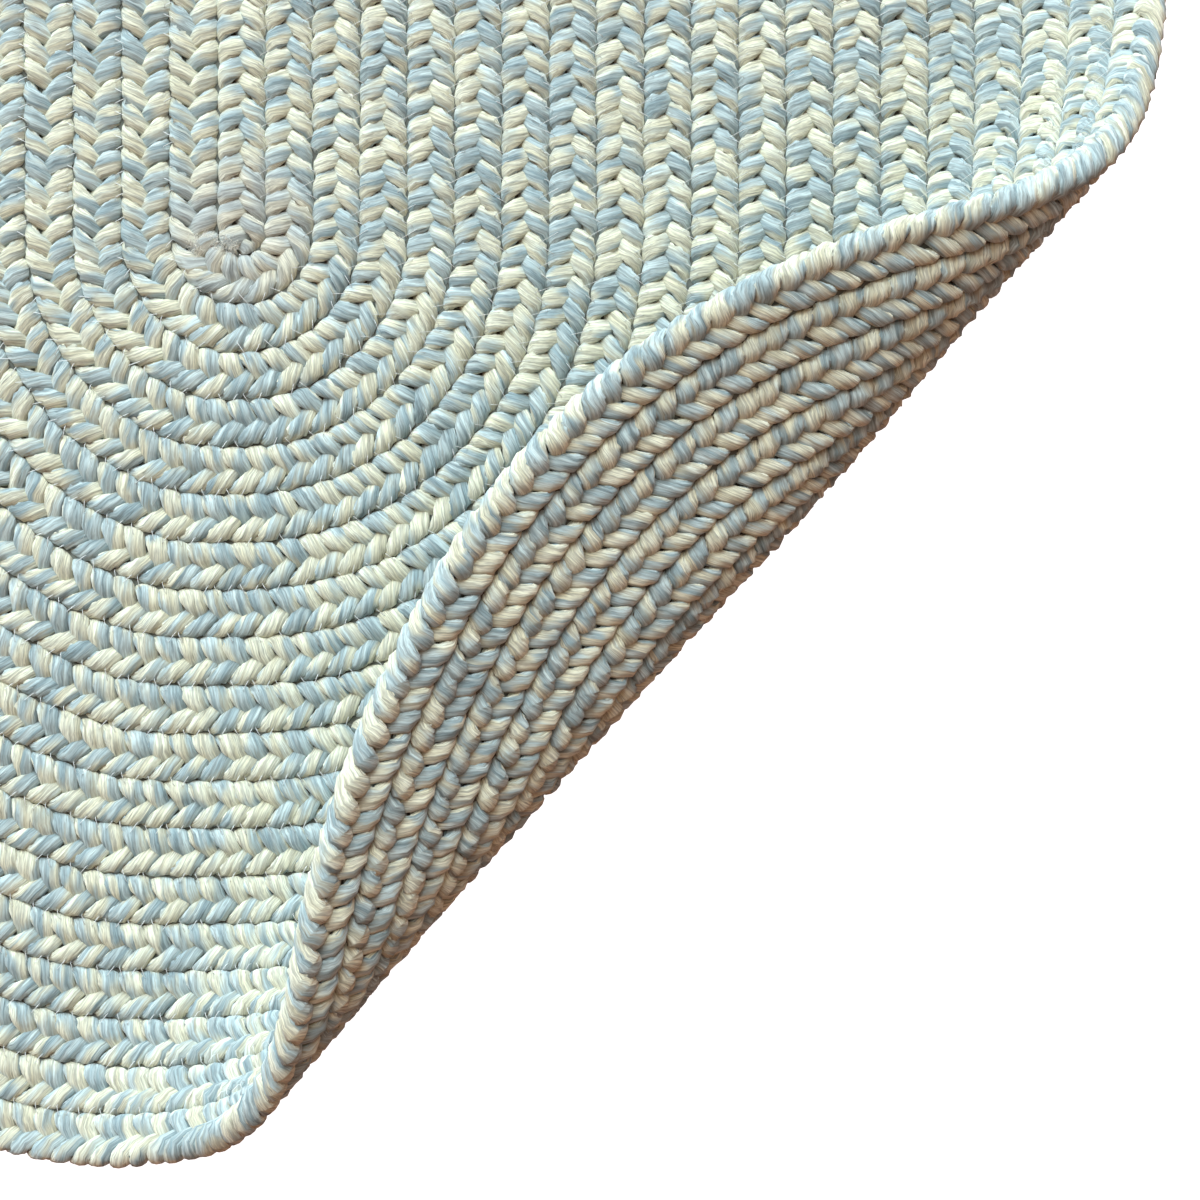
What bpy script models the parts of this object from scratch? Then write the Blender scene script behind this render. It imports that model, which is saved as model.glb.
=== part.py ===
"""An oval braided rug, wound and sewn as one spiral, with one corner curled back over it.

Metres, +Z up. The rug lies on Z = 0 with its long axis along Y, the origin under the middle of its
box, and the curled corner at +X, -Y. The flat spiral is laid out first and the curl is bent into it
afterwards.
"""

import math

import bmesh
import bpy
import numpy as np
from mathutils import Vector

MM = 0.001

# The braid and the oval that it is wound into
ROW_PITCH = 15.64 * MM  # from seam to seam
THICKNESS = 11.5 * MM
END_SPACING = 304 * MM  # between the centres of the two round ends
END_STRETCH = 1.008  # the curled end is a little longer than a true half circle
LEFT_STRETCH = 0.020  # how much wider the rows lie left of the centre row
STRETCH_OVER = math.radians(16)  # of the near end, over which that sets in from its lowest point
WRAPS = 19  # rows between the centre row and the edge
FIRST_FINE_WRAP = 9  # from here on the rows reach the curl

# The cross-section of one row: shoulders on both sides of its middle, a groove at each seam
SHOULDER = 0.26  # from the row's middle, in pitches
GROOVE_TOP = 8.0 * MM
GROOVE_BOTTOM = 3.5 * MM
EDGE_BULGE = 1 * MM  # how much wider the outermost row is, with no neighbour to press it

# The loose end of the braid thins out along the edge of the far round end
TAPER_TO = math.radians(45)
TAPER_WIDTH = 0.3  # of the pitch, at the very end

YARN_COLOUR = (0.52, 0.60, 0.60, 1)
YARN_ROUGHNESS = 0.9

# The curl. Its line runs square to CURL_DIRECTION, with a section of it at every step along
CURL_DIRECTION = math.radians(-41.6)  # from +X
CURL_EASE = 0.35  # radians of turn at full bend over which the bend sets in
SECTION_STEP = 66 * MM
SECTIONS_FROM = -264 * MM
CURL_SECTIONS = (
    # bend radius, turn, and reach: how far from the near end's centre the bend's nose lies
    (66 * MM, math.radians(129), 194 * MM),
    (55 * MM, math.radians(134), 193.6 * MM),
    (43 * MM, math.radians(140), 192.7 * MM),
    (33.5 * MM, math.radians(145), 193.6 * MM),
    (27.5 * MM, math.radians(150), 194.6 * MM),
    (27.5 * MM, math.radians(153), 195.8 * MM),
    (41 * MM, math.radians(154), 193.8 * MM),
    (56 * MM, math.radians(155), 193.4 * MM),
    (70 * MM, math.radians(156), 193.9 * MM),
)

# How the lines of the mesh are cut into stations
COARSE_ARC_STEPS = 14  # per half turn
FINE_FAR_ARC_STEPS = 16  # a multiple of 4, so that the taper ends at a station
FINE_NEAR_ARC_STEPS = 8  # of the near half turn, up to where the curl starts
CURL_ARC_STEPS = 24  # and from there on
CURL_STARTS_AT = math.radians(256)
COLUMN_STATIONS = (0, 19 * MM, 38 * MM, 57 * MM, 78 * MM, 100 * MM, 125 * MM, 155 * MM, 200 * MM)


def stations_of(wrap):
    """The stations along one wrap as (section, place): up the right, over the far end, down the
    left and round the near end. A place is a height above the near centre, or an angle."""
    if wrap < FIRST_FINE_WRAP:
        column = [0]
        far = np.linspace(0, math.pi, COARSE_ARC_STEPS + 1)
        near = np.linspace(math.pi, 2 * math.pi, COARSE_ARC_STEPS + 1)
    else:
        column = COLUMN_STATIONS
        far = np.linspace(0, math.pi, FINE_FAR_ARC_STEPS + 1)
        near = np.concatenate(
            [
                np.linspace(math.pi, CURL_STARTS_AT, FINE_NEAR_ARC_STEPS + 1)[:-1],
                np.linspace(CURL_STARTS_AT, 2 * math.pi, CURL_ARC_STEPS + 1),
            ]
        )
    return (
        [("right", y) for y in column]
        + [("far", angle) for angle in far]
        + [("near", angle) for angle in near]
    )


def flat_place(rows, section, place):
    """The flat x and y of a point this many rows right of the centre line."""
    if section == "near":
        t = min(max((1.5 * math.pi - place) / STRETCH_OVER, 0), 1)
        radius = (rows + 1) * ROW_PITCH * (1 + LEFT_STRETCH * t * t * (3 - 2 * t))
        return radius * math.cos(place), radius * math.sin(place) * END_STRETCH
    if section == "right":
        x, y = rows * ROW_PITCH, place
    else:
        radius = (rows + 0.5) * ROW_PITCH
        x = radius * math.cos(place) - ROW_PITCH / 2
        y = radius * math.sin(place) + END_SPACING
    return x * (1 + LEFT_STRETCH if x < 0 else 1), y


def taper(section, place):
    """The width of the last wrap at a station, as a part of the pitch."""
    return 1 - (1 - TAPER_WIDTH) * (place / TAPER_TO if section == "far" else 0)


def beside_last_wrap(section, place):
    return section == "right" or (section == "far" and place < TAPER_TO + 0.001)


def at_edge(wrap, section, place):
    """Whether no row lies outside this one."""
    covered_to = WRAPS - 1 if beside_last_wrap(section, place) else WRAPS - 2
    return wrap > covered_to


class RugMesh:
    """The flat spiral as a closed mesh, whose points merge where they coincide."""

    def __init__(self):
        self.mesh = bmesh.new()
        self.points = {}

    def point(self, x, y, z):
        key = tuple(round(value / (0.001 * MM)) for value in (x, y, z))
        if key not in self.points:
            self.points[key] = self.mesh.verts.new((x, y, z))
        return self.points[key]

    def line(self, wrap, offset, height, stations):
        """One line along a wrap, offset in rows from the wrap's own middle."""
        points = []
        for section, place in stations:
            width = taper(section, place) if wrap == WRAPS else 1.0
            rows = wrap - 0.5 + (0.5 + offset) * width
            if offset == 0.5 and at_edge(wrap, section, place):
                rows += EDGE_BULGE / ROW_PITCH
            points.append(self.point(*flat_place(rows, section, place), height))
        return points

    def face(self, *corners):
        if len(set(corners)) == len(corners) and self.mesh.faces.get(corners) is None:
            self.mesh.faces.new(corners)

    def fill(self, first, second):
        """Triangles between two lines, always across the shorter diagonal."""
        i = j = 0
        while i < len(first) - 1 or j < len(second) - 1:
            if j == len(second) - 1:
                along_first = True
            elif i == len(first) - 1:
                along_first = False
            else:
                ahead = (first[i + 1].co - second[j].co).length
                along_first = ahead <= (first[i].co - second[j + 1].co).length
            if along_first:
                self.face(first[i], first[i + 1], second[j])
                i += 1
            else:
                self.face(first[i], second[j + 1], second[j])
                j += 1


def last_stations():
    """The stations of the last wrap, which ends where its taper does."""
    return [station for station in stations_of(WRAPS) if beside_last_wrap(*station)]


def add_side(rug, shoulder_height, groove_height):
    """The upper or the lower face of the rug, with the rounded start of the centre row."""
    before_first = rug.line(-1, 0.5, groove_height, stations_of(0))
    inner = before_first
    for wrap in range(WRAPS + 1):
        stations = last_stations() if wrap == WRAPS else stations_of(wrap)
        shoulders = [rug.line(wrap, u, shoulder_height, stations) for u in (-SHOULDER, SHOULDER)]
        outer = rug.line(wrap, 0.5, groove_height, stations)
        for first, second in zip((inner, *shoulders), (*shoulders, outer)):
            rug.fill(first, second)
        if wrap == 0:
            round_start = before_first[-COARSE_ARC_STEPS - 1 :]
            rug.fill(round_start, [line[0] for line in shoulders])
        inner = outer[: len(last_stations())] if wrap == WRAPS - 1 else outer


def curl_section(along):
    """(radius, turn, reach) at a place along the curl's line, on a smooth curve through the table."""
    last = len(CURL_SECTIONS) - 1
    step = min(max((along - SECTIONS_FROM) / SECTION_STEP, 0), last)
    at = min(int(step), last - 1)
    before, start, end, after = (
        np.array(CURL_SECTIONS[min(max(i, 0), last)]) for i in range(at - 1, at + 3)
    )
    t = step - at
    return (
        start
        + t * (end - before) / 2
        + t**2 * (before - 2.5 * start + 2 * end - after / 2)
        + t**3 * (1.5 * (start - end) + (after - before) / 2)
    )


def bend(travel, turn):
    """(forward, up, angle) after this travel along a bend of radius 1 that eases in, turns this
    far and then runs on straight."""
    ramp = min(travel, CURL_EASE)
    forward = ramp - ramp**5 / (40 * CURL_EASE**2)
    up = ramp**3 / (6 * CURL_EASE)
    angle = ramp**2 / (2 * CURL_EASE)
    if travel > CURL_EASE:
        angle = min(travel - CURL_EASE / 2, turn)
        forward += math.sin(angle) - math.sin(CURL_EASE / 2)
        up += math.cos(CURL_EASE / 2) - math.cos(angle)
    straight = max(travel - CURL_EASE / 2 - turn, 0)
    return (
        forward + straight * math.cos(turn),
        up + straight * math.sin(turn),
        angle,
    )


def nose():
    """How far the bend of radius 1 reaches forward from where it starts."""
    return bend(CURL_EASE / 2 + math.pi / 2, math.pi)[0]


def curled(flat):
    """Where a point of the flat rug lies once its corner is curled back."""
    outward = Vector((math.cos(CURL_DIRECTION), math.sin(CURL_DIRECTION), 0))
    line = Vector((-outward.y, outward.x, 0))
    out, along, height = flat.dot(outward), flat.dot(line), flat.z - THICKNESS / 2
    radius, turn, reach = curl_section(along)
    start = reach - radius * nose()
    if out <= start:
        return flat
    forward, up, angle = bend((out - start) / radius, turn)
    out = start + radius * forward - height * math.sin(angle)
    z = THICKNESS / 2 + radius * up + height * math.cos(angle)
    return outward * out + line * along + Vector((0, 0, z))


def rug_mesh():
    rug = RugMesh()
    add_side(rug, THICKNESS, GROOVE_TOP)
    add_side(rug, 0, GROOVE_BOTTOM)
    last = last_stations()
    beyond_last = stations_of(WRAPS - 1)[len(last) - 1 :]
    for wrap, stations in ((WRAPS - 1, beyond_last), (WRAPS, last)):
        rug.fill(*(rug.line(wrap, 0.5, z, stations) for z in (GROOVE_TOP, GROOVE_BOTTOM)))
    upper = ((-0.5, GROOVE_TOP), (-SHOULDER, THICKNESS), (SHOULDER, THICKNESS), (0.5, GROOVE_TOP))
    lower = ((0.5, GROOVE_BOTTOM), (SHOULDER, 0), (-SHOULDER, 0), (-0.5, GROOVE_BOTTOM))
    rug.face(*(rug.line(WRAPS, u, z, last[-1:])[0] for u, z in upper + lower))
    return rug.mesh


def rug_material():
    material = bpy.data.materials.new("heather_yarn")
    material.use_nodes = True
    shader = material.node_tree.nodes["Principled BSDF"]
    shader.inputs["Base Color"].default_value = YARN_COLOUR
    shader.inputs["Roughness"].default_value = YARN_ROUGHNESS
    shader.inputs["Metallic"].default_value = 0.0
    return material


def main():
    for old in list(bpy.data.objects):
        bpy.data.objects.remove(old, do_unlink=True)
    rug = rug_mesh()
    for vertex in rug.verts:
        vertex.co = curled(vertex.co)
    points = np.array([vertex.co for vertex in rug.verts])
    low, high = points.min(axis=0), points.max(axis=0)
    under_middle = Vector(((low[0] + high[0]) / 2, (low[1] + high[1]) / 2, low[2]))
    bmesh.ops.translate(rug, vec=-under_middle, verts=rug.verts)
    bmesh.ops.triangulate(rug, faces=rug.faces)
    bmesh.ops.recalc_face_normals(rug, faces=rug.faces)
    mesh = bpy.data.meshes.new("braided_rug")
    rug.to_mesh(mesh)
    rug.free()
    mesh.materials.append(rug_material())
    mesh.shade_smooth()
    bpy.context.scene.collection.objects.link(bpy.data.objects.new("braided_rug", mesh))


main()
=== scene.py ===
"""The looks of an oval braided rug with one corner curled back: its flat braid of three heathered
strands wound as a spiral, the sewing between the rows, and the stage that it is shown on.

Metres, +Z up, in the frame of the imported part.
"""

import math

import bpy
import numpy as np
from bpy.props import FloatProperty, FloatVectorProperty, IntProperty, PointerProperty
from bpy.types import Operator, Panel, PropertyGroup
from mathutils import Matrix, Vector


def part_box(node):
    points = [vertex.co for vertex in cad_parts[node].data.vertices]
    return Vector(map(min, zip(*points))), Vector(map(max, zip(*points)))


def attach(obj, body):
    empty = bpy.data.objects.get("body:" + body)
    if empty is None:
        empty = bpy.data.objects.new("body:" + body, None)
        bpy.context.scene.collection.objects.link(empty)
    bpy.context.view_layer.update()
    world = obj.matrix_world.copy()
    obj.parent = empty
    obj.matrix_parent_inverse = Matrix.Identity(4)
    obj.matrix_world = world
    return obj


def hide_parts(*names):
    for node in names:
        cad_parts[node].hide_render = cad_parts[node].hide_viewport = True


bl_info = {
    "name": "Braided rug",
    "version": (1, 0, 0),
    "blender": (4, 5, 0),
    "location": "3D View > Sidebar > Rug",
    "description": "Braids, sews and stages an oval rug around its packed part",
    "category": "Object",
}

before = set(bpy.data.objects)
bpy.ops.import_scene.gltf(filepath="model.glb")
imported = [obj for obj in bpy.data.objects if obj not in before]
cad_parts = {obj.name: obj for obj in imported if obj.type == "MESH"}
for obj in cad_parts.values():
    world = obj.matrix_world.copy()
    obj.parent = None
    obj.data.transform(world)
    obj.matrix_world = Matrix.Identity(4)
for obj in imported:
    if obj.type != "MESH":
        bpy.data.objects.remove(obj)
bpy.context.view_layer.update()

MM = 0.001
TO_MM = 1000  # turns a measure in metres into millimetres
BODY = "root"
RUG_NODE = "braided_rug"
YARN_PLACE = "yarn_place"  # attribute: metres across and along the strand, and which side of it

# The oval spiral, as the part's solid has it
ROW_PITCH = 15.64 * MM
THICKNESS = 11.5 * MM
END_SPACING = 304 * MM
END_STRETCH = 1.008
LEFT_STRETCH = 0.020
STRETCH_OVER = math.radians(16)
WRAPS = 19
EDGE_BULGE = 1 * MM
START_DEPTH = 7.6 * MM
LAG, LAG_RISE = 0.16, 0.08  # of the braid's outer side, per metre across, less on top
LAG_HEIGHT = 3 * MM  # over the middle, where that rise is whole
STRANDS = 3
TAKE_UP = 1.85  # length of strand in a length of braid
STRAND_BULGE = 0.6 * MM  # at the rug's edge
TAPER_TO = math.radians(45)
TAPER_WIDTH = 0.3
FLATTEST = 0.45  # share of its thickness that the braid would keep at no width

# The curled corner, as the part's solid has it: bend radius, turn and reach at steps along it
CURL_DIRECTION = math.radians(-41.6)
CURL_EASE = 0.35
SECTION_STEP = 66 * MM
SECTIONS_FROM = -264 * MM
CURL_SECTIONS = np.array(
    [
        (66 * MM, math.radians(129), 194 * MM),
        (55 * MM, math.radians(134), 193.6 * MM),
        (43 * MM, math.radians(140), 192.7 * MM),
        (33.5 * MM, math.radians(145), 193.6 * MM),
        (27.5 * MM, math.radians(150), 194.6 * MM),
        (27.5 * MM, math.radians(153), 195.8 * MM),
        (41 * MM, math.radians(154), 193.8 * MM),
        (56 * MM, math.radians(155), 193.4 * MM),
        (70 * MM, math.radians(156), 193.9 * MM),
    ]
)

# Where the near end's centre lies in the part's frame, from the box of its solid
BOX_LOW, BOX_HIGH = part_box(RUG_NODE)
CENTRE = np.array(
    [
        BOX_LOW.x + (19.5 * ROW_PITCH + EDGE_BULGE) * (1 + LEFT_STRETCH),
        BOX_HIGH.y - (END_SPACING + 19 * ROW_PITCH + EDGE_BULGE),
        0,
    ]
)

# The photo's camera looks straight down
PHOTO_WIDTH = 399.7 * MM  # of the floor that it shows
PHOTO_MIDDLE = np.array([118.4 * MM, -121.6 * MM])  # from the near end's centre
CAMERA_HEIGHT = 999.4 * MM
SENSOR = 36.0

# Rows nearer than this to the near end's centre are seen close up and get a finer mesh
CLOSE_LEFT, CLOSE_TOP = -94 * MM, 92 * MM
CLOSE_MESH = (12, 16)  # sides of a strand, rings per braid period
AWAY_MESH = (6, 9)
MOST_TRIANGLES = 190_000  # in one piece

# The map that packs the strands in rows: the height of a row and the gap after each strand
MAP_GIRTH = 20 * MM
MAP_GAP = 8 * MM
CAP_PLACE, CAP_APART, CAP_SIZE = 3 * MM, 1.2 * MM, 0.8 * MM  # the ends of a strand, in its gap

# The stage
FLOOR_HALF = 12.0
FLOOR_HEIGHT, BOUNCE_HEIGHT = -0.2 * MM, -0.6 * MM
FLOOR_GLOW = 1.2  # seen by the camera alone
BOUNCE_COLOUR = (0.48, 0.37, 0.32)  # warms the undersides
LAMP_AIM = Vector((0.12, -0.25, 0))
LOW_LAMP = (5.0, 110, 34, 4.0)  # size in metres, degrees round and up, metres away
HIGH_LAMP = (3.0, 110, 57, 2.8)


# --------------------------------------------------------------------------------- the rug's shape


def flat_place(rows, section, place):
    """The flat x and y of points this many rows right of the centre line, for arrays."""
    rows, place = np.broadcast_arrays(np.asarray(rows, float), np.asarray(place, float))
    if section == "near":
        t = np.clip((1.5 * math.pi - place) / STRETCH_OVER, 0, 1)
        radius = (rows + 1) * ROW_PITCH * (1 + LEFT_STRETCH * t * t * (3 - 2 * t))
        return np.stack([radius * np.cos(place), radius * np.sin(place) * END_STRETCH], -1)
    if section == "right":
        x, y = rows * ROW_PITCH, place
    elif section == "left":
        x, y = -(rows + 1) * ROW_PITCH, place
    else:
        radius = (rows + 0.5) * ROW_PITCH
        x = radius * np.cos(place) - ROW_PITCH / 2
        y = radius * np.sin(place) + END_SPACING
    return np.stack([np.where(x < 0, x * (1 + LEFT_STRETCH), x), y], -1)


class BraidLine:
    """The middle of the braid along its whole length, as tables over the distance along it."""

    STEP = 1.5 * MM

    def __init__(self):
        place = np.linspace(START_DEPTH, 0, 12, endpoint=False)
        width = np.clip(1 - (place / START_DEPTH) ** 2, 0.06, 1) ** 0.5
        middles = [np.stack([np.zeros(12), -place], -1)]
        asides = [np.stack([width * ROW_PITCH, np.zeros(12)], -1)]
        widths, marks = [width], {}
        for wrap in range(WRAPS + 1):
            for section, start, stop in self.sections(wrap):
                radius = (wrap + 1) * ROW_PITCH if section in ("near", "far") else 1
                count = max(int(abs(stop - start) * radius / self.STEP), 2)
                place = np.linspace(start, stop, count, endpoint=False)
                width = np.ones(count)
                if wrap == WRAPS and section == "far":
                    width = 1 - (1 - TAPER_WIDTH) * place / TAPER_TO
                middle = wrap - 0.5 + 0.5 * width
                marks[wrap, section] = sum(len(m) for m in middles)
                middles.append(flat_place(middle, section, place))
                asides.append(
                    flat_place(middle + width / 2, section, place)
                    - flat_place(middle - width / 2, section, place)
                )
                widths.append(width)
        self.middle, self.aside = np.concatenate(middles), np.concatenate(asides)
        steps = np.linalg.norm(np.diff(self.middle, axis=0), axis=1)
        self.at = np.concatenate([[0], np.cumsum(steps)])
        self.width = np.concatenate(widths)
        self.length = self.at[-1]
        last_turn = self.at[marks[WRAPS - 1, "far"]]
        self.edge_from = last_turn + (WRAPS - 0.5) * ROW_PITCH * TAPER_TO

    @staticmethod
    def sections(wrap):
        if wrap == WRAPS:
            return [("right", 0, END_SPACING), ("far", 0, TAPER_TO)]
        return [
            ("right", 0, END_SPACING),
            ("far", 0, math.pi),
            ("left", END_SPACING, 0),
            ("near", math.pi, 2 * math.pi),
        ]

    def over(self, along, table):
        if table.ndim == 1:
            return np.interp(along, self.at, table)
        return np.stack([np.interp(along, self.at, column) for column in table.T], -1)

    def at_edge(self, along):
        return np.clip((along - self.edge_from) / (20 * MM), 0, 1)

    def place(self, along, across, height):
        """Points of the curled rug, in the part's frame, from places along and across the braid."""
        along = along - across * (LAG - LAG_RISE * np.clip(height / LAG_HEIGHT, -1, 1))
        flat = self.over(along, self.middle) + self.over(along, self.aside) * (
            across / ROW_PITCH
        )[..., None]
        width = self.over(along, self.width)
        height = height * (FLATTEST + (1 - FLATTEST) * width)
        flat = np.concatenate([flat, (THICKNESS / 2 + height)[..., None]], -1)
        return curled(flat) + CENTRE

    def close(self, along):
        """Whether the braid is seen close up here."""
        x, y = self.over(along, self.middle).T
        return (x > CLOSE_LEFT) & (y < CLOSE_TOP)


def curl_section(along):
    """(radius, turn, reach) at places along the curl's line, on smooth curves through the table."""
    last = len(CURL_SECTIONS) - 1
    step = np.clip((along - SECTIONS_FROM) / SECTION_STEP, 0, last)
    at = np.minimum(step.astype(int), last - 1)
    before, start, end, after = (
        CURL_SECTIONS[np.clip(at + i, 0, last)] for i in (-1, 0, 1, 2)
    )
    t = (step - at)[..., None]
    found = (
        start
        + t * (end - before) / 2
        + t**2 * (before - 2.5 * start + 2 * end - after / 2)
        + t**3 * (1.5 * (start - end) + (after - before) / 2)
    )
    return found[..., 0], found[..., 1], found[..., 2]


def bend(travel, turn):
    """(forward, up, angle) after this travel along a bend of radius 1 that eases in."""
    ramp = np.minimum(travel, CURL_EASE)
    past = travel > CURL_EASE
    angle = np.where(
        past, np.minimum(travel - CURL_EASE / 2, turn), ramp**2 / (2 * CURL_EASE)
    )
    forward = ramp - ramp**5 / (40 * CURL_EASE**2)
    forward = forward + np.where(past, np.sin(angle) - math.sin(CURL_EASE / 2), 0)
    up = ramp**3 / (6 * CURL_EASE) + np.where(
        past, math.cos(CURL_EASE / 2) - np.cos(angle), 0
    )
    straight = np.maximum(travel - CURL_EASE / 2 - turn, 0)
    return forward + straight * np.cos(turn), up + straight * np.sin(turn), angle


def curled(flat):
    """Where points of the flat rug lie once its corner is curled back."""
    outward = np.array([math.cos(CURL_DIRECTION), math.sin(CURL_DIRECTION)])
    line = np.array([-outward[1], outward[0]])
    out, along = flat[..., :2] @ outward, flat[..., :2] @ line
    height = flat[..., 2] - THICKNESS / 2
    radius, turn, reach = curl_section(along)
    nose = bend(np.array(CURL_EASE / 2 + math.pi / 2), math.pi)[0]
    start = reach - radius * nose
    forward, up, angle = bend(np.maximum(out - start, 0) / radius, turn)
    bent = start + radius * forward - height * np.sin(angle)
    out = np.where(out > start, bent, out)
    z = THICKNESS / 2 + radius * up + height * np.cos(angle)
    return np.concatenate([outward * out[..., None] + line * along[..., None], z[..., None]], -1)


# ------------------------------------------------------------------------------------ the strands


def ripple(along, seed, wave):
    """A smooth irregular value from -1 to 1 over a length, the same at every run."""
    phases = np.random.default_rng(seed).uniform(0, 2 * math.pi, 3)
    waves = wave * np.array([1.0, 0.618, 1.73])
    return sum(np.sin(2 * math.pi * along / w + p) for w, p in zip(waves, phases)) / 3


def strand_middle(line, strand, along, sizes):
    """(across, height, turn in its round) of the middle of a strand, at places along the braid."""
    phase = 2 * math.pi * (along / sizes.period + strand / STRANDS)
    phase = phase + 0.26 * ripple(along, 11 + strand, 25 * MM)
    turn = phase + sizes.dwell / 2 * np.sin(2 * phase)
    edge = line.at_edge(along)
    swing = sizes.swing * (1 + 0.08 * ripple(along, 21 + strand, 21 * MM))
    across = swing * np.sin(turn) + sizes.offset * np.cos(turn) ** 2
    across = across + edge * STRAND_BULGE * np.clip(np.sin(turn), 0, 1)
    lift = THICKNESS / 2 - sizes.strand_thickness / 2
    height = -lift * np.sin(2 * turn) * (1 + 0.05 * ripple(along, 31 + strand, 19 * MM))
    return across, height, turn


def strand_surface(line, strand, along, theta, sizes, off=0.0):
    """(points, half_width): places round a strand, this far off its surface, and its size there."""
    step = 0.1 * MM
    across, height, turn = strand_middle(line, strand, along, sizes)
    after = strand_middle(line, strand, along + step, sizes)
    before = strand_middle(line, strand, along - step, sizes)
    rates = [np.ones(along.shape)] + [(after[i] - before[i]) / (2 * step) for i in (0, 1)]
    tangent = np.stack(rates, -1)
    tangent /= np.linalg.norm(tangent, axis=-1)[..., None]
    wide = np.array([1.0, 0, 0]) - tangent[..., :1] * tangent
    wide /= np.linalg.norm(wide, axis=-1)[..., None]
    thick = np.cross(tangent, wide)
    middle = np.cos(turn) ** 4
    full = 1 + sizes.pinch * (1 - 2 * middle)
    half_width = sizes.strand_width / 2 * full * (1 + 0.15 * ripple(along, 41 + strand, 15 * MM))
    half_thick = sizes.strand_thickness / 2 * (1 + 0.06 * ripple(along, 51 + strand, 13 * MM))
    half_thick = half_thick * (1 - sizes.pinch * middle)
    local = np.stack([along, across, height], -1)
    local = local + ((half_width + off) * np.cos(theta))[..., None] * wide
    local = local + ((half_thick + off) * np.sin(theta))[..., None] * thick
    return line.place(local[..., 0], local[..., 1], local[..., 2]), half_width


class Tube:
    """Rings of one strand over one stretch of the braid, with the places that its finish needs."""

    def __init__(self, line, strand, start, stop, mesh, sizes):
        self.sides, per_period = mesh
        count = max(int(round((stop - start) / sizes.period * per_period)), 3) + 1
        along = np.linspace(start, stop, count)[:, None]
        theta = 2 * math.pi * np.arange(self.sides) / self.sides
        self.points, half_width = strand_surface(line, strand, along, theta, sizes)
        middle = self.points.mean(axis=1)
        steps = np.linalg.norm(np.diff(middle, axis=0), axis=1)
        self.run = np.concatenate([[0], np.cumsum(steps)])
        lap = 1 - 2 * np.abs(((theta / math.pi + 1) % 2) - 1)  # 1 to -1 over each face
        parts = (half_width * lap, along * TAKE_UP + 50 * strand, np.sin(theta))
        self.finish = np.stack(np.broadcast_arrays(*parts), -1)

    @property
    def triangles(self):
        return 2 * self.sides * (len(self.run) - 1) + 2 * (self.sides - 2)


def capped_mesh(name, points, quads, caps):
    """A smooth mesh of these quads and of the caps that close its ends."""
    mesh = bpy.data.meshes.new(name)
    mesh.vertices.add(len(points))
    mesh.vertices.foreach_set("co", points.astype(np.float32).ravel())
    corners = np.concatenate([quads.ravel(), *caps])
    counts = np.array([4] * len(quads) + [len(cap) for cap in caps])
    starts = np.concatenate([[0], np.cumsum(counts)[:-1]])
    mesh.loops.add(len(corners))
    mesh.loops.foreach_set("vertex_index", corners.astype(np.int32))
    mesh.polygons.add(len(counts))
    mesh.polygons.foreach_set("loop_start", starts.astype(np.int32))
    mesh.polygons.foreach_set("use_smooth", np.ones(len(counts), bool))
    mesh.update(calc_edges=True)
    return mesh


def tube_mesh(name, tubes):
    """One mesh of many closed tubes, with the places on their yarn and a map that packs them."""
    lengths = np.array([tube.run[-1] for tube in tubes])
    row_length = math.sqrt(lengths.sum() * MAP_GIRTH) + 6 * MM
    rows = int(math.ceil((lengths + MAP_GAP).sum() / row_length)) + len(tubes)
    quads, caps, quad_map, cap_map = [], [], [], []
    base, used = 0, 0.0
    for tube in tubes:
        count, sides = len(tube.run), tube.sides
        ring = np.arange(count - 1)[:, None] * sides + base
        side = np.arange(sides)[None, :]
        after = (side + 1) % sides
        faces = [ring + side, ring + after, ring + sides + after, ring + sides + side]
        quads.append(np.stack(faces, -1).reshape(-1, 4))
        caps.append(base + np.arange(sides)[::-1])
        caps.append(base + (count - 1) * sides + np.arange(sides))

        run = tube.run + used
        row = np.floor(run[:-1] / row_length)
        low = (row[:, None] + 0.04 + 0.92 * side / sides) / rows
        high = (row[:, None] + 0.04 + 0.92 * (side + 1) / sides) / rows
        left, right = (
            np.broadcast_to(((at - row * row_length) / (row_length + MAP_GAP))[:, None], low.shape)
            for at in (run[:-1], run[1:])
        )
        corners = [(left, low), (left, high), (right, high), (right, low)]
        quad_map.append(np.stack([np.stack(pair, -1) for pair in corners], -2).reshape(-1, 2))
        theta = 2 * math.pi * np.arange(sides) / sides
        last_row = np.floor(run[-1] / row_length)
        at = (run[-1] - last_row * row_length + CAP_PLACE) / (row_length + MAP_GAP)
        for turn in (-1, 1):
            u = at + (turn * CAP_APART + CAP_SIZE * np.cos(theta)) / row_length
            cap_map.append(np.stack([u, (last_row + 0.5 + 0.3 * np.sin(theta) * turn) / rows], -1))
        used += tube.run[-1] + MAP_GAP
        base += count * sides
    points = np.concatenate([tube.points.reshape(-1, 3) for tube in tubes])
    mesh = capped_mesh(name, points, np.concatenate(quads), caps)
    finish = np.concatenate([tube.finish.reshape(-1, 3) for tube in tubes])
    attribute = mesh.attributes.new(YARN_PLACE, "FLOAT_VECTOR", "POINT")
    attribute.data.foreach_set("vector", finish.astype(np.float32).ravel())
    layer = mesh.uv_layers.new(name="OFBake")
    uv = np.clip(np.concatenate(quad_map + cap_map), 0, 1)
    layer.data.foreach_set("uv", uv.astype(np.float32).ravel())
    mesh.validate()
    return mesh


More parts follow.
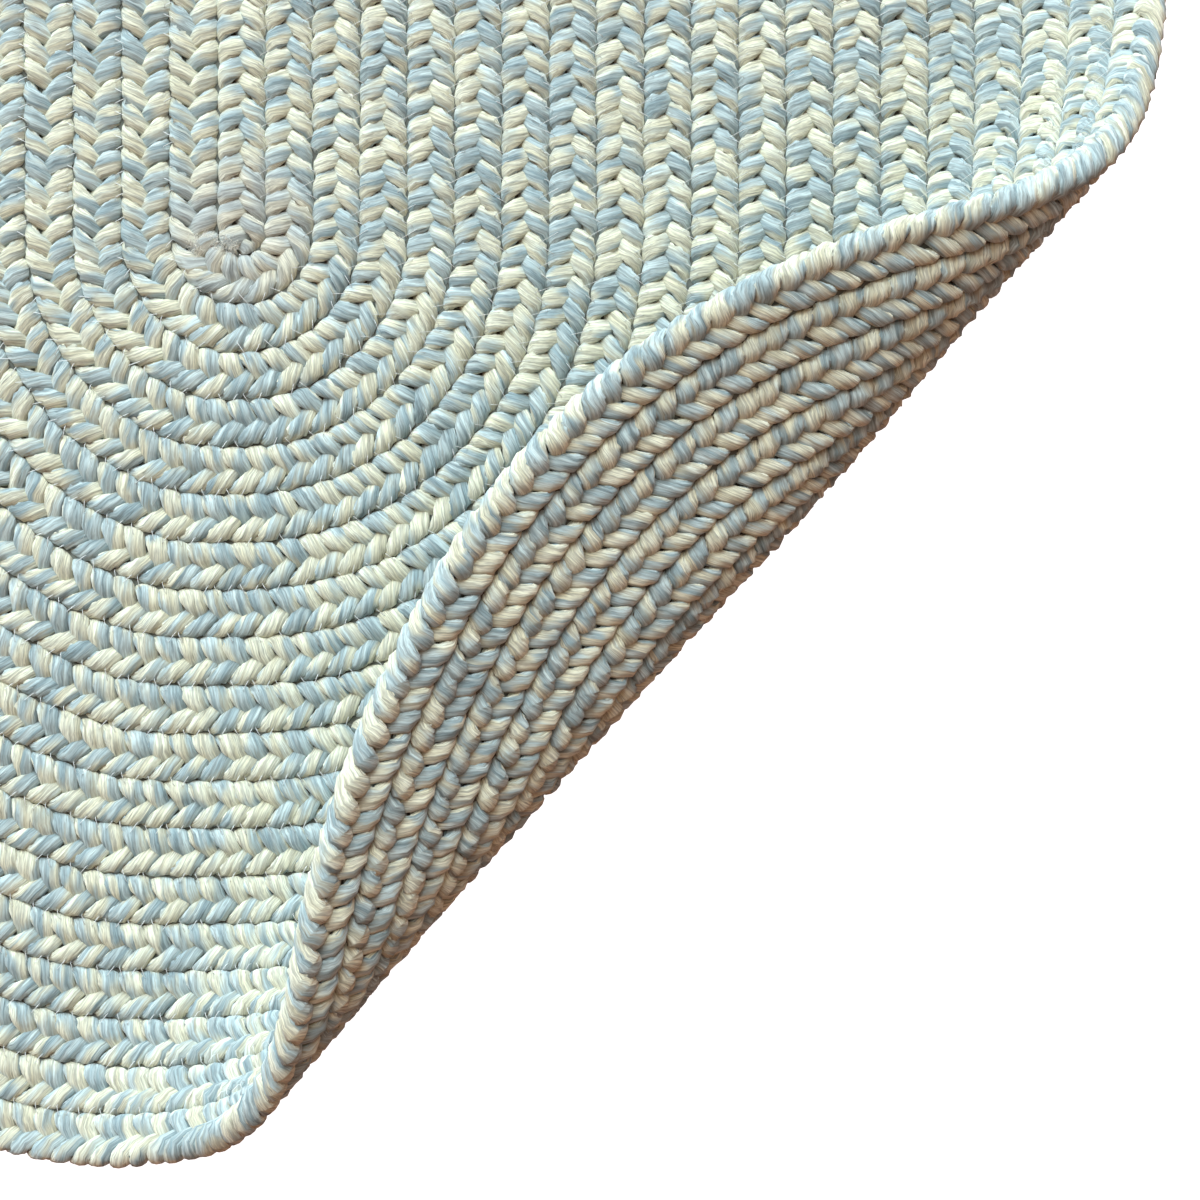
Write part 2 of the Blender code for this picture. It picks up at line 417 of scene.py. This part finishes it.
def thread_mesh(name, paths, radius, sides=3):
    """One mesh of many short threads, each through its own row of points."""
    count, steps = paths.shape[:2]
    tangent = np.gradient(paths, axis=1)
    tangent /= np.linalg.norm(tangent, axis=-1)[..., None]
    side = np.cross(tangent, [0.0, 0.0, 1.0])
    side /= np.linalg.norm(side, axis=-1)[..., None] + 1e-9
    up = np.cross(side, tangent)
    theta = 2 * math.pi * np.arange(sides) / sides
    ring = (
        side[:, :, None, :] * np.cos(theta)[:, None] + up[:, :, None, :] * np.sin(theta)[:, None]
    )
    points = paths[:, :, None, :] + radius * ring
    first = np.arange(count) * steps * sides
    low = first[:, None, None] + (np.arange(steps - 1) * sides)[:, None]
    corner = np.arange(sides)
    after = (corner + 1) % sides
    quads = np.stack([low + corner, low + after, low + sides + after, low + sides + corner], -1)
    ends = first[:, None] + corner[::-1]
    tips = first[:, None] + corner + (steps - 1) * sides
    mesh = capped_mesh(name, points.reshape(-1, 3), quads.reshape(-1, 4), [*ends, *tips])
    mesh.validate()
    return mesh


def add_piece(name, mesh, material):
    """A piece of the rug that rides on its body and stands for its solid."""
    mesh.materials.append(material)
    piece = bpy.data.objects.new(name, mesh)
    bpy.context.scene.collection.objects.link(piece)
    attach(piece, BODY)
    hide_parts(RUG_NODE)
    return piece


# ------------------------------------------------------------------------------------ the finishes


class Wire:
    """A socket whose value Python's operators work on, each by one Math node."""

    def __init__(self, finish, socket):
        self.finish, self.socket = finish, socket

    def math(self, operation, *values):
        return self.finish.node("ShaderNodeMath", {"operation": operation}, dict(enumerate(values)))

    def __add__(self, other):
        return self.math("ADD", self, other)

    def __radd__(self, other):
        return self.math("ADD", other, self)

    def __sub__(self, other):
        return self.math("SUBTRACT", self, other)

    def __rsub__(self, other):
        return self.math("SUBTRACT", other, self)

    def __mul__(self, other):
        return self.math("MULTIPLY", self, other)

    def __rmul__(self, other):
        return self.math("MULTIPLY", other, self)

    def __truediv__(self, other):
        return self.math("DIVIDE", self, other)

    def __pow__(self, other):
        return self.math("POWER", self, other)

    def __abs__(self):
        return self.math("ABSOLUTE", self)

    def __gt__(self, other):
        return self.math("GREATER_THAN", self, other)

    def __floor__(self):
        return self.math("FLOOR", self)


class Finish:
    """A material made of nodes, around one Principled shader."""

    def __init__(self, name):
        self.material = bpy.data.materials.new(name)
        self.material.use_nodes = True
        self.tree = self.material.node_tree
        self.shader = self.tree.nodes["Principled BSDF"]

    def node(self, kind, settings=None, sockets=None, output=0):
        node = self.tree.nodes.new(kind)
        for key, value in (settings or {}).items():
            setattr(node, key, value)
        for key, value in (sockets or {}).items():
            self.put(node.inputs[key], value)
        return Wire(self, node.outputs[output])

    def put(self, socket, value):
        if isinstance(value, Wire):
            self.tree.links.new(value.socket, socket)
        else:
            socket.default_value = value

    def set(self, **sockets):
        for key, value in sockets.items():
            self.put(self.shader.inputs[key.replace("_", " ")], value)
        return self

    def mix(self, factor, first, second, blend="MIX"):
        settings = {"data_type": "RGBA", "blend_type": blend}
        return self.node("ShaderNodeMix", settings, {0: factor, 6: first, 7: second}, 2)

    def vector(self, x, y, z):
        return self.node("ShaderNodeCombineXYZ", None, {0: x, 1: y, 2: z})

    def parts(self, vector):
        """The x, y and z of a vector."""
        node = self.node("ShaderNodeSeparateXYZ", None, {0: vector}).socket.node
        return [Wire(self, output) for output in node.outputs]

    def object_place(self):
        return self.node("ShaderNodeTexCoord", None, None, 3)

    def noise(self, place, detail=2.0, roughness=0.5, scale=1.0):
        sockets = {"Vector": place, "Scale": scale, "Detail": detail, "Roughness": roughness}
        return self.node("ShaderNodeTexNoise", None, sockets)

    def mottled(self, colour, share, scale, detail):
        """This colour, in patches down to this share of it."""
        patch = self.noise(self.object_place(), detail, scale=scale)
        return self.mix(patch, (*colour, 1), (*(share * value for value in colour), 1))

    def smooth(self, value, low, high, to_low=0.0, to_high=1.0):
        sockets = {0: value, 1: low, 2: high, 3: to_low, 4: to_high}
        return self.node("ShaderNodeMapRange", {"interpolation_type": "SMOOTHSTEP"}, sockets)


def yarn_finish(yarn):
    """Heathered yarn: blue and cream strands in streaks, each yarn a ridge of fine fibres."""
    finish = Finish("heather_yarn_braid")
    place = finish.node("ShaderNodeAttribute", {"attribute_name": YARN_PLACE}, None, 1)
    across, along, side = finish.parts(place)
    across, along, turned = across * TO_MM, along * TO_MM, side > 0

    def streaks(start, width, length, shift, detail, roughness=0.5):
        """Noise stretched along the yarn, in millimetres, other on the strand's other side."""
        spot = finish.vector(start / width, along / length, turned * shift)
        return finish.noise(spot, detail, roughness)

    sway = streaks(across, 1.5, 4, 2.9, 2.0) - 0.5
    lay = across + sway * 0.75

    # Plies side by side, each a ridge that is blue or cream for a stretch
    lane = lay / yarn.ply + turned * 0.5
    lane_number = math.floor(lane)
    ridge = 1 - abs((lane - lane_number) * 2 - 1) ** 2.5
    fibre = streaks(lay, 0.42, 7, 3.1, 3.0, 0.75)
    patch = streaks(across, 6, 22, 9.7, 1.0)
    own = finish.noise(finish.vector(lane_number * 3.7, along / 12, turned * 5.3), 1.0)
    blue = finish.smooth(patch * 0.62 + own * 0.38 + (fibre - 0.5) * 0.12, 0.455, 0.545)

    tone = streaks(lay, 1.3, 13, 7.9, 2.0)
    tone = finish.smooth(tone + (fibre - 0.5) * 0.2, 0.3, 0.7)
    cream_yarn = finish.mix(tone, (*yarn.cream_light, 1), (*yarn.cream_deep, 1))
    blue_yarn = finish.mix(tone, (*yarn.blue_light, 1), (*yarn.blue_deep, 1))
    colour = finish.mix(blue, cream_yarn, blue_yarn)

    # Duller round the start; painted shade between fibres, between plies and in a few slits, and
    # painted highlights along the fibres
    centre = (CENTRE[0], CENTRE[1], THICKNESS)
    away = finish.node(
        "ShaderNodeVectorMath", {"operation": "DISTANCE"}, {0: finish.object_place(), 1: centre}, 1
    )
    dull = finish.smooth(away * TO_MM, 14, 32, 0.45, 0.0)
    colour = finish.mix(dull, colour, (*yarn.start, 1))
    painted_slit_shade = streaks(lay, 0.55, 5, 6.1, 1.0)
    # painted light: fibre streaks go up to painted highlights and down to painted shade, and ply
    # edges get painted shade
    shade = finish.smooth(fibre, 0.36, 0.64, 0.66, 1.20) * (0.87 + ridge * 0.13)
    # painted shade in a few slits between the fibres
    shade = shade * finish.smooth(painted_slit_shade, 0.26, 0.36, 0.65, 1.0)
    grey = finish.node("ShaderNodeCombineColor", None, {0: shade, 1: shade, 2: shade})
    colour = finish.mix(1.0, colour, grey, "MULTIPLY")

    height = ridge * 1.1 + fibre * 1.1
    bump = finish.node(
        "ShaderNodeBump", None, {"Strength": 0.7, "Distance": 0.22 * MM, "Height": height}
    )
    finish.set(Base_Color=colour, Roughness=0.72, Normal=bump)
    finish.set(Specular_IOR_Level=0.15, Sheen_Weight=0.1, Sheen_Roughness=0.5)
    finish.set(Diffuse_Roughness=0.8)
    return finish.material


def core_finish(yarn):
    """The unseen inside of the braid, of which only the gaps show, coloured dark as painted shade
    there.
    """
    finish = Finish("braid_inside")
    # painted shade: the inside is darkened to stand for the shadow in the gaps between the strands
    painted_gap_shade = [0.20 * (blue + cream) for blue, cream in zip(yarn.blue_deep, yarn.cream_deep)]
    finish.set(Base_Color=finish.mottled(painted_gap_shade, 0.6, 400.0, 2.0), Roughness=0.95)
    return finish.material


def thread_finish(stitches):
    """Clear nylon sewing thread."""
    finish = Finish("sewing_thread")
    colour = finish.mottled(stitches.colour, 0.8, 250.0, 1.0)
    finish.set(Base_Color=colour, Roughness=0.3, Alpha=0.85)
    return finish.material


def fibre_finish(name, colour):
    """Loose fibres of the yarn."""
    finish = Finish(name)
    colour = finish.mottled(colour, 0.85, 300.0, 1.0)
    finish.set(Base_Color=colour, Roughness=0.8, Specular_IOR_Level=0.2)
    return finish.material


# ------------------------------------------------------------------------------------ properties


class RugSizes(PropertyGroup):
    """How the braid is made up."""

    period: FloatProperty(
        name="Braid period", description="Length of braid in which a strand crosses and returns",
        default=23.4 * MM, min=10 * MM, unit="LENGTH",
    )
    swing: FloatProperty(
        name="Strand swing", description="How far a strand's middle goes to each side",
        default=5.8 * MM, min=1 * MM, unit="LENGTH",
    )
    offset: FloatProperty(
        name="Plait offset", description="How far outward of the middle the strands cross",
        default=0.1 * MM, unit="LENGTH",
    )
    dwell: FloatProperty(
        name="Dwell", description="How much longer a strand stays at the sides than in the middle",
        default=0.2, min=0, max=1,
    )
    strand_width: FloatProperty(
        name="Strand width", description="Width of a strand", default=7.0 * MM, unit="LENGTH",
    )
    pinch: FloatProperty(
        name="Pinch", description="How much narrower a strand is where it dives, as a share",
        default=0.06, min=-0.5, max=0.5,
    )
    strand_thickness: FloatProperty(
        name="Strand thickness", description="Thickness of a strand", default=5.1 * MM,
        unit="LENGTH",
    )


class YarnProperties(PropertyGroup):
    """The yarn's colours and make-up."""

    cream_light: FloatVectorProperty(
        name="Light cream", description="Palest cream yarn", subtype="COLOR", size=3,
        default=(0.76, 0.79, 0.66), min=0, max=1,
    )
    cream_deep: FloatVectorProperty(
        name="Deep cream", description="Most yellow cream yarn", subtype="COLOR", size=3,
        default=(0.63, 0.63, 0.48), min=0, max=1,
    )
    blue_light: FloatVectorProperty(
        name="Light blue", description="Palest blue yarn", subtype="COLOR", size=3,
        default=(0.57, 0.68, 0.67), min=0, max=1,
    )
    blue_deep: FloatVectorProperty(
        name="Deep blue", description="Darkest blue yarn", subtype="COLOR", size=3,
        default=(0.27, 0.37, 0.39), min=0, max=1,
    )
    start: FloatVectorProperty(
        name="Start", description="Duller tone of the yarn round the braid's start",
        subtype="COLOR", size=3, default=(0.56, 0.55, 0.49), min=0, max=1,
    )
    ply: FloatProperty(
        name="Ply width in mm",
        description="Width of one ply on a strand's surface, in millimetres",
        default=2.2, min=0.1,
    )


class StitchProperties(PropertyGroup):
    """The sewing between the rows."""

    colour: FloatVectorProperty(
        name="Thread colour", description="Colour of the clear sewing thread", subtype="COLOR",
        size=3, default=(0.90, 0.94, 0.91), min=0, max=1,
    )
    thread: FloatProperty(
        name="Thread diameter", description="Diameter of the sewing thread",
        default=0.24 * MM, unit="LENGTH",
    )
    spacing: FloatProperty(
        name="Stitch spacing", description="Length of seam that each zigzag stitch takes",
        default=7.8 * MM, unit="LENGTH",
    )


class FibreProperties(PropertyGroup):
    """Stray fibres, and the cut ends where the braid starts."""

    stray_count: IntProperty(
        name="Stray fibres", description="Number of fibres that stand off the yarn", default=3000,
        min=3,
    )
    stray_colour: FloatVectorProperty(
        name="Stray colour", description="Colour of the stray fibres", subtype="COLOR", size=3,
        default=(0.78, 0.80, 0.74), min=0, max=1,
    )
    cut_count: IntProperty(
        name="Cut ends", description="Number of fibres in the frayed start", default=600, min=1,
    )
    cut_colour: FloatVectorProperty(
        name="Cut ends' colour", description="Colour of the frayed start", subtype="COLOR", size=3,
        default=(0.84, 0.82, 0.72), min=0, max=1,
    )
    diameter: FloatProperty(
        name="Fibre diameter",
        description="Diameter of a stray fibre, a little under that of a cut end",
        default=0.09 * MM, unit="LENGTH",
    )


class StageProperties(PropertyGroup):
    """Floor and light."""

    floor_colour: FloatVectorProperty(
        name="Floor colour", description="Colour of the pale floor", subtype="COLOR", size=3,
        default=(0.55, 0.55, 0.55), min=0, max=1,
    )
    low_power: FloatProperty(
        name="Low light", description="Power of the cool light from low at the far side, in watts",
        default=350.0, min=0,
    )
    low_colour: FloatVectorProperty(
        name="Low light's colour", description="Colour of the low light", subtype="COLOR", size=3,
        default=(0.69, 0.86, 1.0), min=0, max=1,
    )
    high_power: FloatProperty(
        name="High light", description="Power of the warm light from above, in watts",
        default=52.0, min=0,
    )
    high_colour: FloatVectorProperty(
        name="High light's colour", description="Colour of the high light", subtype="COLOR",
        size=3, default=(0.98, 1.0, 0.92), min=0, max=1,
    )
    fill: FloatProperty(
        name="Fill light", description="Strength of the even light from all round", default=0.305,
        min=0,
    )
    fill_colour: FloatVectorProperty(
        name="Fill colour", description="Colour of the even light", subtype="COLOR", size=3,
        default=(1.0, 0.48, 0.32), min=0, max=1,
    )


# ------------------------------------------------------------------------------------ operators


class RUG_OT_braid(Operator):
    """Braids the three strands along the whole spiral"""

    bl_idname = "rug.braid"
    bl_label = "Braid"

    def execute(self, context):
        sizes = context.scene.rug_sizes
        line = BraidLine()
        material = yarn_finish(context.scene.rug_yarn)
        for name, close, mesh in (("near", True, CLOSE_MESH), ("away", False, AWAY_MESH)):
            tubes = [
                Tube(line, strand, start, stop, mesh, sizes)
                for start, stop in self.stretches(line, close, sizes.period)
                for strand in range(STRANDS)
            ]
            groups = [[]]
            for tube in tubes:
                if sum(t.triangles for t in groups[-1]) + tube.triangles > MOST_TRIANGLES:
                    groups.append([])
                groups[-1].append(tube)
            for number, group in enumerate(groups, 1):
                piece = f"braid_{name}_{number}"
                add_piece(piece, tube_mesh(piece, group), material)
        return {"FINISHED"}

    @staticmethod
    def stretches(line, close, period):
        """The stretches of the braid that are seen close up, or the others, in whole periods."""
        stations = np.arange(0, line.length + period, period)
        stations[-1] = line.length
        kind = line.close((stations[:-1] + stations[1:]) / 2)
        found, first = [], 0
        for i in range(1, len(kind) + 1):
            if i == len(kind) or kind[i] != kind[first]:
                if kind[first] == close:
                    found.append((stations[first], stations[i]))
                first = i
        return found


class RUG_OT_core(Operator):
    """Lays the thin inside of the rug, which closes the gaps between the strands and shows in them
    as painted shade
    """

    bl_idname = "rug.core"
    bl_label = "Inside"

    STEP = 10 * MM
    LAP = 0.1 * MM  # into the next row's inside
    EDGE_INSET = 3.2 * MM  # behind the rug's edge
    BANK = np.array([1.0, 0.8, 0.55, -0.55, -0.8, -1.0])  # places across half a row
    HALF = np.array([1.4, 1.6, 0.5, 0.5, 1.6, 1.4]) * MM  # half the thickness there

    def execute(self, context):
        line = BraidLine()
        count = int(line.length / self.STEP)
        along = np.linspace(0, line.length, count)
        edge = line.at_edge(along)
        ring = []
        for share, up in [*zip(self.BANK, self.HALF), *zip(self.BANK[::-1], -self.HALF[::-1])]:
            across = share * (ROW_PITCH / 2 + self.LAP) - max(share, 0) * edge * self.EDGE_INSET
            height = up * (1 - edge * (share > 0.6)) * np.ones(count)
            ring.append(line.place(along, across * np.ones(count), height))
        points = np.stack(ring, 1)
        sides = len(ring)
        base = np.arange(count - 1)[:, None] * sides
        side = np.arange(sides)[None, :]
        after = (side + 1) % sides
        quads = np.stack([base + after, base + side, base + sides + side, base + sides + after], -1)
        faces = quads.reshape(-1, 4).tolist()
        faces += [list(range(sides)), [sides * count - 1 - i for i in range(sides)]]
        mesh = bpy.data.meshes.new("braid_inside")
        mesh.from_pydata(points.reshape(-1, 3).tolist(), [], faces)
        piece = add_piece("braid_inside", mesh, core_finish(context.scene.rug_yarn))
        return {"FINISHED"}


class RUG_OT_stitches(Operator):
    """Sews the rows together with a zigzag of clear thread"""

    bl_idname = "rug.stitches"
    bl_label = "Sewing"

    # Each way of the zigzag: forward or back, slope, height over the middle, share on the columns
    WAYS = ((1, 0.62, 5.8, 1.0), (-1, 0.45, 5.5, 0.6))
    ARC_SHARE = 0.55
    END_HEIGHT = 4.3
    POINTS = np.array([-1.0, -0.66, 0.66, 1.0])  # places along a stitch

    def execute(self, context):
        stitches = context.scene.rug_stitches
        line = BraidLine()
        rng = np.random.default_rng(7)
        starts = np.arange(20 * MM, line.edge_from, stitches.spacing)
        starts = starts + rng.normal(0, 0.5 * MM, len(starts))
        x, y = line.over(starts, line.middle).T
        straight = (x > 0) & (y > -40 * MM)
        ways = []
        for forward, lean, high, share in self.WAYS:
            kept = rng.uniform(0, 1, len(starts)) < np.where(straight, 0.9, 0.75)
            at = starts[kept]
            reach = rng.uniform(2.6 * MM, 3.8 * MM, len(at))
            reach = (reach * np.where(straight[kept], share, self.ARC_SHARE))[:, None]
            along = at[:, None] + forward * lean * reach * self.POINTS
            if forward < 0:
                along = along + stitches.spacing / 2
            across = ROW_PITCH / 2 + reach * self.POINTS
            lift = np.array([self.END_HEIGHT, high, high, self.END_HEIGHT]) * MM
            height = lift + rng.normal(0, 0.12 * MM, across.shape)
            ways.append(line.place(along, across, height))
        mesh = thread_mesh("sewing_thread", np.concatenate(ways), stitches.thread / 2)
        add_piece("sewing_thread", mesh, thread_finish(stitches))
        return {"FINISHED"}


class RUG_OT_fibres(Operator):
    """Adds stray fibres all over and the cut ends at the braid's start"""

    bl_idname = "rug.fibres"
    bl_label = "Fibres"

    def execute(self, context):
        fibres = context.scene.rug_fibres
        rng = np.random.default_rng(12)
        mesh = thread_mesh("stray_fibres", self.stray(context, rng), fibres.diameter / 2)
        add_piece("stray_fibres", mesh, fibre_finish("stray_fibre", fibres.stray_colour))
        ends = self.cut_ends(fibres.cut_count, rng)
        mesh = thread_mesh("cut_ends", ends, fibres.diameter * 0.6)
        add_piece("cut_ends", mesh, fibre_finish("cut_fibre", fibres.cut_colour))
        return {"FINISHED"}

    @staticmethod
    def stray(context, rng):
        """Paths that leave a strand's surface at a low angle."""
        line, sizes = BraidLine(), context.scene.rug_sizes
        count = context.scene.rug_fibres.stray_count // STRANDS
        u = np.array([0, 0.4, 1.0])
        paths = []
        for strand in range(STRANDS):
            start = rng.uniform(START_DEPTH, line.length - 10 * MM, count)[:, None]
            long = rng.uniform(-1, 1, count)[:, None] * 3 * MM
            theta = rng.uniform(0, 2 * math.pi, count)[:, None]
            swerve = rng.normal(0, 0.35, count)[:, None]
            off = rng.uniform(0.15, 0.9, count)[:, None] * np.array([-0.3, 0.7, 1.0]) * MM
            along, theta = start + long * u, theta + swerve * u
            paths.append(strand_surface(line, strand, along, theta, sizes, off)[0])
        return np.concatenate(paths)

    @staticmethod
    def cut_ends(count, rng):
        """Paths of the frayed ends, in a band across the innermost row, worked in millimetres."""
        x = rng.uniform(-17, -1.5, count) + rng.normal(0, 0.8, count)
        y = rng.normal(-4.4, 1.4, count) - 0.04 * x + np.sin(x * 0.9)
        start = np.stack([x, y, rng.uniform(9.3, 10.6, count)], -1)
        lean = rng.normal(0, 1, (count, 3)) * (0.6, 1.0, 0.15)
        u = np.array([0, 0.5, 1.0])[:, None]
        reach = lean[:, None, :] * u + rng.normal(0, 0.3, (count, 3, 3)) * u
        reach[..., 2] = 0.4 * u[:, 0] * (1.6 - u[:, 0]) + 0.2 * reach[..., 2]
        return (start[:, None, :] + reach) * MM + CENTRE


class RUG_OT_stage(Operator):
    """Sets up the pale floor, the soft light and the camera"""

    bl_idname = "rug.stage"
    bl_label = "Stage"

    def execute(self, context):
        stage = context.scene.rug_stage
        self.floor("floor", FLOOR_HEIGHT, stage.floor_colour, FLOOR_GLOW, camera=True)
        self.floor("floor_bounce", BOUNCE_HEIGHT, BOUNCE_COLOUR, 0.0, camera=False)
        self.lights(context, stage)
        self.camera(context)
        return {"FINISHED"}

    @staticmethod
    def floor(name, height, colour, glow, camera):
        finish = Finish(name)
        shade = finish.mottled(colour, 0.98, 3.0, 2.0)
        finish.set(Base_Color=shade, Roughness=0.9, Specular_IOR_Level=0.0)
        finish.set(Emission_Color=(1, 1, 1, 1), Emission_Strength=glow)
        mesh = bpy.data.meshes.new(name)
        signs = ((-1, -1), (1, -1), (1, 1), (-1, 1))
        corners = [(x * FLOOR_HALF, y * FLOOR_HALF, height) for x, y in signs]
        mesh.from_pydata(corners, [], [(0, 1, 2, 3)])
        mesh.materials.append(finish.material)
        floor = bpy.data.objects.new(name, mesh)
        bpy.context.scene.collection.objects.link(floor)
        floor.visible_camera = camera
        floor.visible_diffuse = floor.visible_glossy = floor.visible_transmission = not camera
        floor.visible_shadow = False

    @staticmethod
    def lights(context, stage):
        world = bpy.data.worlds.new("studio")
        world.use_nodes = True
        background = world.node_tree.nodes["Background"]
        background.inputs["Color"].default_value = (*stage.fill_colour, 1)
        background.inputs["Strength"].default_value = stage.fill
        context.scene.world = world
        for name, power, colour, (size, turn, rise, distance) in (
            ("low_light", stage.low_power, stage.low_colour, LOW_LAMP),
            ("high_light", stage.high_power, stage.high_colour, HIGH_LAMP),
        ):
            light = bpy.data.lights.new(name, "AREA")
            light.shape, light.size = "DISK", size
            light.energy, light.color = power, colour
            lamp = bpy.data.objects.new(name, light)
            context.scene.collection.objects.link(lamp)
            turn, rise = math.radians(turn), math.radians(rise)
            flat = math.cos(rise)
            away = Vector((flat * math.cos(turn), flat * math.sin(turn), math.sin(rise)))
            lamp.location = LAMP_AIM + distance * away
            lamp.rotation_mode = "QUATERNION"
            lamp.rotation_quaternion = away.to_track_quat("Z", "Y")

    @staticmethod
    def camera(context):
        data = bpy.data.cameras.new("photo")
        data.sensor_width = SENSOR
        data.lens = SENSOR * CAMERA_HEIGHT / PHOTO_WIDTH
        camera = bpy.data.objects.new("photo", data)
        context.scene.collection.objects.link(camera)
        camera.location = (*(CENTRE[:2] + PHOTO_MIDDLE), CAMERA_HEIGHT)
        context.scene.camera = camera
        context.scene.view_settings.view_transform = "Standard"


class RUG_PT_panel(Panel):
    """Lists the rug's sizes and colours and the steps that make it"""

    bl_idname = "RUG_PT_panel"
    bl_label = "Braided rug"
    bl_space_type = "VIEW_3D"
    bl_region_type = "UI"
    bl_category = "Rug"

    def draw(self, context):
        for group in SETTINGS:
            box = self.layout.box()
            settings = getattr(context.scene, group)
            for name in settings.__annotations__:
                box.prop(settings, name)
        for operator in OPERATORS:
            self.layout.operator(operator.bl_idname)


SETTINGS = {
    "rug_sizes": RugSizes,
    "rug_yarn": YarnProperties,
    "rug_stitches": StitchProperties,
    "rug_fibres": FibreProperties,
    "rug_stage": StageProperties,
}
OPERATORS = (RUG_OT_braid, RUG_OT_stitches, RUG_OT_fibres, RUG_OT_core, RUG_OT_stage)
CLASSES = (*SETTINGS.values(), *OPERATORS, RUG_PT_panel)


def register():
    for each in CLASSES:
        bpy.utils.register_class(each)
    for name, group in SETTINGS.items():
        setattr(bpy.types.Scene, name, PointerProperty(type=group))


def unregister():
    for name in SETTINGS:
        delattr(bpy.types.Scene, name)
    for each in reversed(CLASSES):
        bpy.utils.unregister_class(each)


def main():
    register()
    bpy.ops.rug.braid()
    bpy.ops.rug.stitches()
    bpy.ops.rug.fibres()
    bpy.ops.rug.core()
    bpy.ops.rug.stage()


if __name__ == "__main__":
    main()
